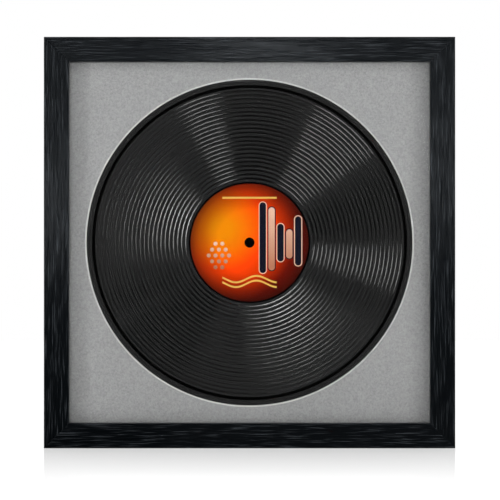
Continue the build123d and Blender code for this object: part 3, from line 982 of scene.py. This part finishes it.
def screw_shell(seat, turn):
    """A pan-head screw standing on Z: its head above a seat, its shank below the rail's back.

    The head's top is an ellipse of radius and height, sunk by the cross, which is the greater of
    two slots with soft walls. The cross is turned by the given angle.
    """
    head, rim, crown, ease, tip = 3.0 * MM, 0.7 * MM, 1.1 * MM, 0.1 * MM, 0.06 * MM
    shank, bite, point = 1.5 * MM, 12 * MM, 3 * MM
    slot_reach, slot_half, slot_depth = 1.6 * MM, 0.42 * MM, 0.95 * MM
    slot_end, slot_wall = 0.35 * MM, 0.22 * MM
    angle = np.linspace(0, 2 * pi, 64, endpoint=False)
    inner = np.linspace(tip, 2.2 * MM, 19)
    outer = head * np.sin(np.radians(np.linspace(52, 90, 7)))
    rows = []
    for radius in np.concatenate([inner, outer]):
        x, y = radius * np.cos(angle - turn), radius * np.sin(angle - turn)
        height = seat + rim + crown * sqrt(max(1 - (radius / head) ** 2, 0))
        slots = [
            smooth_step(slot_reach - np.abs(along), 0.0, slot_end)
            * smooth_step(slot_half - np.abs(across), 0.0, slot_wall)
            for along, across in ((x, y), (y, x))
        ]
        rows.append((radius, height - slot_depth * np.maximum(*slots)))
    rows += [(head, seat + ease), (head - ease, seat), (shank, seat), (shank, point - bite), (tip, -bite)]
    return rings(rows, angle), capped_faces(len(rows), len(angle))


def button_place(name):
    """A turn button's screw place and heading, from the middle of its body's joint."""
    joint = next(joint for joint in frame["joints"] if joint["child"] == name)
    x, _, z = joint["pos_m"]
    on_side = "upper" in name or "lower" in name
    heading = (-np.sign(x), 0.0) if on_side else (0.0, -np.sign(z - CENTRE_Z))
    return x, z, heading


def standing_screws(places, seat, seed):
    """Screws at places (x, z) on the rails' back, each turned at random."""
    rng = np.random.default_rng(seed)
    screws = []
    for x, z in places:
        points, faces = screw_shell(seat, rng.uniform(0, pi / 2))
        screws.append((on_back(points, x, z, (0.0, 1.0)), faces))
    return merge(screws)


class RECORDFRAME_OT_buttons(bpy.types.Operator):
    """Make the turn buttons and their screws"""

    bl_idname = "record_frame.buttons"
    bl_label = "Turn buttons"

    def execute(self, context):
        settings = context.scene.record_frame_hardware
        nickel = metal_material("nickel_plate", settings.nickel, 0.26)
        zinc = metal_material("zinc_plate", settings.zinc, 0.30)
        shell, faces = button_shell()
        places = []
        for name in BUTTON_NAMES:
            x, z, heading = button_place(name)
            places.append((x, z))
            button = add_piece(f"stamped_{name}", on_back(shell, x, z, heading), faces, [nickel])
            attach(button, name)
            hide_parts(name)
        points, faces = standing_screws(places, 1.4 * MM, 7)
        heads = add_piece("pan_head_button_screws", points, faces, [zinc])
        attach(heads, "frame")
        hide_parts("turn_button_screws")
        return {"FINISHED"}


class RECORDFRAME_OT_hangers(bpy.types.Operator):
    """Make the hangers' screws and finish the straps and rings"""

    bl_idname = "record_frame.hangers"
    bl_label = "Hangers"

    def execute(self, context):
        settings = context.scene.record_frame_hardware
        nickel = metal_material("hanger_nickel_plate", settings.nickel, 0.22)
        zinc = metal_material("zinc_plate", settings.zinc, 0.30)
        low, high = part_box("hanger_screws")
        head = 3 * MM
        strap_low, strap_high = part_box("hanger_strap_left")
        apart = abs(strap_low.x + strap_high.x) / 2
        places = [(x, z) for x in (-apart, apart) for z in (low.z + head, high.z - head)]
        points, faces = standing_screws(places, 2.0 * MM, 11)
        heads = add_piece("pan_head_hanger_screws", points, faces, [zinc])
        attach(heads, "frame")
        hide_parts("hanger_screws")
        for side in ("left", "right"):
            wear_finish(f"hanger_strap_{side}", [nickel])
            wear_finish(f"hanger_ring_{side}", [nickel])
        return {"FINISHED"}


class RECORDFRAME_OT_small_parts(bpy.types.Operator):
    """Finish the V-nails and the rubber pads"""

    bl_idname = "record_frame.small_parts"
    bl_label = "Nails and pads"

    def execute(self, context):
        settings = context.scene.record_frame_hardware
        wear_finish("corner_v_nails", [metal_material("nail_steel", settings.steel, 0.42)])
        rubber = paper_material("rubber_pads", settings.rubber, 600.0, 0.25, 0.7, specular=0.35)
        for side in ("left", "right"):
            wear_finish(f"bumper_{side}", [rubber])
        return {"FINISHED"}


# Stage


def area_lamp(name, shape, width, height, strength):
    """An area lamp that the camera can't see. Radiance L and area A send out pi L A."""
    data = bpy.data.lights.new(name, "AREA")
    data.shape = shape
    data.size, data.size_y = width, height
    share = pi / 4 if shape == "ELLIPSE" else 1.0
    data.energy = pi * strength * width * height * share
    lamp = new_object(name, data)
    lamp.visible_camera = False
    return lamp


def aim(lamp, off_axis, clock, distance, roll=0.0):
    """Places a lamp at an angle off the line of sight, in a clock direction seen from the front.

    It faces the record. Its width runs away from the line of sight and its height round it, when
    it isn't rolled about its own axis.
    """
    off, bearing = radians(off_axis), radians(clock)
    outwards = np.array([sin(off) * sin(bearing), -cos(off), sin(off) * cos(bearing)])
    round_way = np.array([cos(bearing), 0.0, -sin(bearing)])
    facing = Matrix((np.cross(round_way, outwards), round_way, outwards)).transposed()
    lamp.location = np.array([0.0, 0.0, CENTRE_Z]) + outwards * distance
    lamp.rotation_euler = (facing @ Matrix.Rotation(roll, 3, "Z")).to_euler()


def record_lamps(strength):
    """The lamps that the record's ridges mirror.

    Inner flanks mirror a fan of lamps, brightest in its middle, on each of two sides. Outer
    flanks mirror two square lamps there, which stand on a corner, one inside the other. Both
    mirror nothing between, so each makes its own bright sector.
    """
    for side, middle in (("right", 107.5), ("upper_left", 333)):
        for step in range(-3, 4):
            share = 0.52 * (1 - abs(step) / 4)
            lamp = area_lamp(f"{side}_softbox_{step + 4}", "ELLIPSE", 0.12, 0.25, share * strength)
            aim(lamp, 36, middle + 7.5 * step, SOFTBOX_DISTANCE)
    for side, middle in (("right", 100), ("upper_left", 340)):
        for part, width, share in (("wide", 0.28, 0.26), ("core", 0.12, 0.80)):
            lamp = area_lamp(f"{side}_{part}_diamond", "SQUARE", width, width, share * strength)
            aim(lamp, 47.5, middle, SOFTBOX_DISTANCE, pi / 4)
    for name, (off_axis, clock, depth, sweep, share) in SOFTBOXES.items():
        lamp = area_lamp(name, "ELLIPSE", depth, sweep, share * strength)
        aim(lamp, off_axis, clock, SOFTBOX_DISTANCE)


def rail_lamps(strength):
    """The small lamps that make the middle of the top rail and of the side rails paler."""
    for name, (off_axis, clock, distance, depth, sweep, share) in RAIL_LIGHTS.items():
        aim(area_lamp(name, "ELLIPSE", depth, sweep, share * strength), off_axis, clock, distance)
    for name, (x, rise, width, height) in RAIL_WASHES.items():
        lamp = area_lamp(name, "ELLIPSE", width, height, RAIL_WASH_SHARE * strength)
        lamp.data.spread = radians(60)
        lamp.location = (x, -0.30, CENTRE_Z + rise)
        lamp.rotation_euler = (pi / 2, 0.0, 0.0)


def room(settings):
    """The room: pale round the picture, dim with five dark panels behind the camera.

    The panels are sectors round the line of sight, given as a clock direction and a half angle.
    Camera rays see white.
    """
    world = bpy.data.worlds.new("studio_room")
    bpy.context.scene.world = world
    world.use_nodes = True
    tree = world.node_tree
    tree.nodes.clear()
    place = put(tree, "ShaderNodeTexCoord", output="Generated")
    _, y, z = axes(tree, place)
    depth = scaled(tree, y, -0.52, -0.30, settings.room_front, settings.room_back)
    glow = maths(tree, "MULTIPLY", depth, scaled(tree, z, -0.3, 0.9, 0.75, 1.1))
    bearing = vectors(tree, "NORMALIZE", vectors(tree, "MULTIPLY", place, (1.0, 0.0, 1.0)))
    for clock, spread, start, end in DARK_PANELS:
        before = scaled(tree, y, start - 0.01, start + 0.01, 1.0, 0.0)
        after = scaled(tree, y, end - 0.02, end + 0.02)
        middle = (sin(radians(clock)), 0.0, cos(radians(clock)))
        near = vectors(tree, "DOT_PRODUCT", bearing, middle, output="Value")
        beside = scaled(tree, near, cos(radians(spread)), cos(radians(spread * 0.4)), 1.0, 0.0)
        clear = maths(tree, "MAXIMUM", beside, maths(tree, "MAXIMUM", before, after))
        glow = maths(tree, "MULTIPLY", glow, clear)
    lit = put(tree, "ShaderNodeBackground", {"Color": WHITE, "Strength": glow})
    white = put(tree, "ShaderNodeBackground", {"Color": WHITE, "Strength": 1.0})
    seen = put(tree, "ShaderNodeLightPath", output="Is Camera Ray")
    mixed = put(tree, "ShaderNodeMixShader", {0: seen, 1: lit, 2: white})
    add_node(tree, "ShaderNodeOutputWorld", {"Surface": mixed})


def floor_material():
    """White floor, as the camera sees it.

    Mirror rays see it dark in front of the picture and in a strip at its left, and diffuse rays
    see it pale. Only the camera sees its polish, which fades away from the picture.
    """
    material, tree, shader, place = new_material("studio_floor", 0.9, specular=0.0)
    x, y, _ = axes(tree, place)
    sight = add_node(tree, "ShaderNodeLightPath")
    front = scaled(tree, y, -0.28, -0.18, 1.0, 0.0)
    from_strip = maths(tree, "ABSOLUTE", maths(tree, "ADD", x, 0.185))
    strip = scaled(tree, from_strip, 0.085, 0.125, 1.0, 0.0)
    dim = maths(tree, "MULTIPLY", sight["Is Glossy Ray"], maths(tree, "MAXIMUM", front, strip))
    pale = blend(tree, sight["Is Diffuse Ray"], tint(WHITE, 0.25), tint(WHITE, 0.8))
    colour = blend(tree, dim, pale, tint(WHITE, 0.004))
    seen = maths(tree, "MAXIMUM", sight["Is Camera Ray"], sight["Is Transmission Ray"])
    glow = maths(tree, "MULTIPLY", seen, 0.78)
    fill(tree, shader, {"Base Color": colour, "Emission Color": WHITE, "Emission Strength": glow})
    gloss = put(tree, "ShaderNodeBsdfGlossy", {"Roughness": 0.02})
    below = scaled(tree, maths(tree, "ABSOLUTE", x), 0.195, 0.24, 1.0, 0.0)
    below = maths(tree, "MULTIPLY", below, sight["Is Camera Ray"])
    polish = scaled(tree, maths(tree, "ABSOLUTE", y), 0.38, 0.01, 0.0, 0.38)
    share = maths(tree, "MULTIPLY", polish, below)
    base = tree.nodes["Principled BSDF"].outputs[0]
    mixed = put(tree, "ShaderNodeMixShader", {0: share, 1: base, 2: gloss})
    tree.links.new(mixed, tree.nodes["Material Output"].inputs["Surface"])
    return material


class RECORDFRAME_OT_stage(bpy.types.Operator):
    """Set up the floor, the room, the lamps and the camera"""

    bl_idname = "record_frame.stage"
    bl_label = "Stage"

    def execute(self, context):
        settings = context.scene.record_frame_stage
        scene = context.scene
        scene.view_settings.view_transform = "Standard"
        x, y = np.meshgrid(np.linspace(-1.6, 1.6, 3), np.linspace(-0.44, 2.2, 3), indexing="ij")
        just_below = -0.02 * MM
        points = np.stack([x, y, np.full_like(x, just_below)], -1).reshape(-1, 3)
        mesh = bpy.data.meshes.new("studio_floor")
        mesh.from_pydata(points.tolist(), [], grid_faces(3, 3)[:, ::-1].tolist())
        mesh.materials.append(floor_material())
        floor = new_object("studio_floor", mesh)
        room(settings)
        record_lamps(settings.lamp_strength)
        rail_lamps(settings.lamp_strength)
        data = bpy.data.cameras.new("photo_camera")
        data.lens, data.sensor_width = 150.0, 36.0
        data.clip_start, data.clip_end = 0.05, 50.0
        camera = new_object("photo_camera", data)
        aside = 0.43 * MM
        camera.location = (aside, FRONT_Y - settings.camera_distance, settings.camera_height)
        camera.rotation_euler = (pi / 2, 0.0, 0.0)
        scene.camera = camera
        return {"FINISHED"}


# Panel and registration

OPERATORS = (
    RECORDFRAME_OT_stage,
    RECORDFRAME_OT_rails,
    RECORDFRAME_OT_mount,
    RECORDFRAME_OT_glazing,
    RECORDFRAME_OT_record,
    RECORDFRAME_OT_labels,
    RECORDFRAME_OT_boards,
    RECORDFRAME_OT_buttons,
    RECORDFRAME_OT_hangers,
    RECORDFRAME_OT_small_parts,
)

SETTINGS = {
    "record_frame_stage": StageSettings,
    "record_frame_rails": RailSettings,
    "record_frame_mount": MountSettings,
    "record_frame_record": RecordSettings,
    "record_frame_label": LabelSettings,
    "record_frame_boards": BoardSettings,
    "record_frame_hardware": HardwareSettings,
}


class RECORDFRAME_PT_pieces(bpy.types.Panel):
    """Lists the pieces and their settings"""

    bl_idname = "RECORDFRAME_PT_pieces"
    bl_label = "Record frame"
    bl_space_type = "VIEW_3D"
    bl_region_type = "UI"
    bl_category = "Record frame"

    def draw(self, context):
        for operator in OPERATORS:
            self.layout.operator(operator.bl_idname)
        for name in SETTINGS:
            group = getattr(context.scene, name)
            box = self.layout.box()
            for key in group.bl_rna.properties.keys():
                if key not in ("rna_type", "name"):
                    box.prop(group, key)


def register():
    for kind in (*SETTINGS.values(), *OPERATORS, RECORDFRAME_PT_pieces):
        bpy.utils.register_class(kind)
    for name, group in SETTINGS.items():
        setattr(bpy.types.Scene, name, PointerProperty(type=group))


def unregister():
    for name in SETTINGS:
        delattr(bpy.types.Scene, name)
    for kind in (RECORDFRAME_PT_pieces, *OPERATORS, *SETTINGS.values()):
        bpy.utils.unregister_class(kind)


def main():
    register()
    for operator in OPERATORS:
        family, name = operator.bl_idname.split(".")
        getattr(getattr(bpy.ops, family), name)()


if __name__ == "__main__":
    main()
